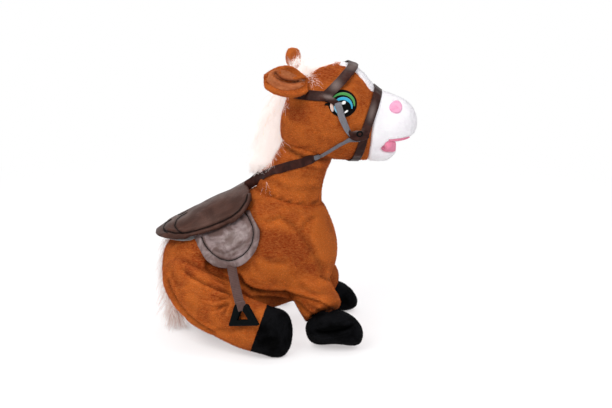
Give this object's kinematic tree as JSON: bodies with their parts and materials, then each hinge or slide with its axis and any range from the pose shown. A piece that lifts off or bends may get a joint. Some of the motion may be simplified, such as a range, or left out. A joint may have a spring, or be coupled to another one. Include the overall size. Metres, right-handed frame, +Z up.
{
  "type": "plush horse",
  "caption": "Crouching plush horse with white mane and muzzle, bridle, reins, padded saddle with flaps and hanging stirrups.",
  "frame": {"origin": "on the floor under the middle of the bounding box", "axes": "+Z up, +X towards the nose, +Y to the left side of the horse; the camera of the picture looked along +Y at the right side"},
  "size_m": [0.2579, 0.2124, 0.2838],
  "materials": {
    "velboa_brown": "short-pile rust-brown plush",
    "plush_white": "short-pile white plush",
    "hair_white": "long-pile white plush",
    "felt_pink": "pink short-pile fabric",
    "lining_salmon": "salmon-brown plush lining",
    "velboa_black": "short-pile black plush",
    "leather_dark": "dark brown imitation leather",
    "leather_taupe": "glossy taupe imitation leather",
    "felt_grey": "grey felt backing",
    "eye_print": "embroidered eye in green, blue, black and white",
    "plastic_black": "black moulded plastic"
  },
  "bodies": {
    "torso": {"body": "velboa_brown", "saddle_pad": "felt_grey", "saddle_seat": "leather_dark"},
    "neck": {"neck": "velboa_brown", "mane": "hair_white", "right_rein": "leather_dark", "left_rein": "leather_dark"},
    "head": {"head": "velboa_brown", "blaze": "plush_white", "muzzle": "plush_white", "lower_jaw": "plush_white", "tongue": "felt_pink", "forelock": "hair_white", "crown_strap": "leather_dark", "browband": "leather_dark", "noseband": "leather_dark", "right_eye": "eye_print", "left_eye": "eye_print", "right_nostril": "felt_pink", "left_nostril": "felt_pink", "right_cheek_strap": "leather_dark", "left_cheek_strap": "leather_dark", "right_bridle_ring": "plastic_black", "left_bridle_ring": "plastic_black"},
    "tail": {"tail": "hair_white"},
    "right_ear": {"right_ear": "velboa_brown", "right_ear_lining": "lining_salmon"},
    "right_hind_leg": {"right_hind_leg": "velboa_brown", "right_hind_hoof": "velboa_black"},
    "right_foreleg": {"right_foreleg": "velboa_brown", "right_fore_hoof": "velboa_black"},
    "right_flap": {"right_saddle_flap": "leather_taupe"},
    "right_leather": {"right_stirrup_leather": "leather_dark"},
    "right_stirrup": {"right_stirrup": "plastic_black"},
    "left_ear": {"left_ear": "velboa_brown", "left_ear_lining": "lining_salmon"},
    "left_hind_leg": {"left_hind_leg": "velboa_brown", "left_hind_hoof": "velboa_black"},
    "left_foreleg": {"left_foreleg": "velboa_brown", "left_fore_hoof": "velboa_black"},
    "left_flap": {"left_saddle_flap": "leather_taupe"},
    "left_leather": {"left_stirrup_leather": "leather_dark"},
    "left_stirrup": {"left_stirrup": "plastic_black"}
  },
  "joints": [
    {"name": "neck_turn", "type": "hinge", "parent": "torso", "child": "neck", "pos_m": [0.004, 0, 0.1402], "axis": [0.2504, 0, 0.9681], "range_deg": [-25, 25], "stiffness_Nm_per_rad": 1.5, "deforming": ["right_rein", "left_rein"]},
    {"name": "head_nod", "type": "hinge", "parent": "neck", "child": "head", "pos_m": [0.0195, 0, 0.184], "axis": [0, 1, 0], "range_deg": [-8, 8], "stiffness_Nm_per_rad": 2, "deforming": ["mane"]},
    {"name": "tail_swing", "type": "hinge", "parent": "torso", "child": "tail", "pos_m": [-0.1197, 0, 0.0936], "axis": [0, 1, 0], "range_deg": [0, 35]},
    {"name": "right_ear_bend", "type": "hinge", "parent": "head", "child": "right_ear", "pos_m": [0.01996, -0.0265, 0.25596], "axis": [-0.0284, 0.4066, 0.9132], "range_deg": [-6, 6], "stiffness_Nm_per_rad": 0.02},
    {"name": "right_hind_leg_swing", "type": "hinge", "parent": "torso", "child": "right_hind_leg", "pos_m": [-0.08, -0.032, 0.054], "axis": [-0.4695, -0.8829, 0], "range_deg": [-8, 5], "stiffness_Nm_per_rad": 3},
    {"name": "right_foreleg_swing", "type": "hinge", "parent": "torso", "child": "right_foreleg", "pos_m": [0.02, -0.03, 0.059], "axis": [-0.727, -0.6866, 0], "range_deg": [-3, 8], "stiffness_Nm_per_rad": 2},
    {"name": "right_flap_lift", "type": "hinge", "parent": "torso", "child": "right_flap", "pos_m": [-0.061, -0.04165, 0.11543], "axis": [-0.9101, 0.0872, -0.4052], "range_deg": [0, 45]},
    {"name": "right_leather_swing", "type": "hinge", "parent": "right_flap", "child": "right_leather", "pos_m": [-0.05193, -0.05949, 0.07853], "axis": [-0.972, -0.1801, -0.1511], "range_deg": [0, 50]},
    {"name": "right_stirrup_swing", "type": "hinge", "parent": "right_leather", "child": "right_stirrup", "pos_m": [-0.04153, -0.0924, 0.05091], "axis": [-0.8829, 0.4695, 0], "range_deg": [0, 34]},
    {"name": "left_ear_bend", "type": "hinge", "parent": "head", "child": "left_ear", "pos_m": [0.01996, 0.0265, 0.25596], "axis": [-0.22, 0.2747, -0.936], "range_deg": [-6, 6], "stiffness_Nm_per_rad": 0.02},
    {"name": "left_hind_leg_swing", "type": "hinge", "parent": "torso", "child": "left_hind_leg", "pos_m": [-0.08, 0.032, 0.054], "axis": [0.4695, -0.8829, 0], "range_deg": [-8, 5], "stiffness_Nm_per_rad": 3},
    {"name": "left_foreleg_swing", "type": "hinge", "parent": "torso", "child": "left_foreleg", "pos_m": [0.02, 0.03, 0.059], "axis": [0.727, -0.6866, 0], "range_deg": [-3, 8], "stiffness_Nm_per_rad": 2},
    {"name": "left_flap_lift", "type": "hinge", "parent": "torso", "child": "left_flap", "pos_m": [-0.061, 0.04165, 0.11543], "axis": [0.9101, 0.0872, 0.4052], "range_deg": [0, 45]},
    {"name": "left_leather_swing", "type": "hinge", "parent": "left_flap", "child": "left_leather", "pos_m": [-0.05193, 0.05949, 0.07853], "axis": [0.972, -0.1801, 0.1511], "range_deg": [0, 50]},
    {"name": "left_stirrup_swing", "type": "hinge", "parent": "left_leather", "child": "left_stirrup", "pos_m": [-0.04153, 0.0924, 0.05091], "axis": [0.8829, 0.4695, 0], "range_deg": [0, 34]}
  ]
}
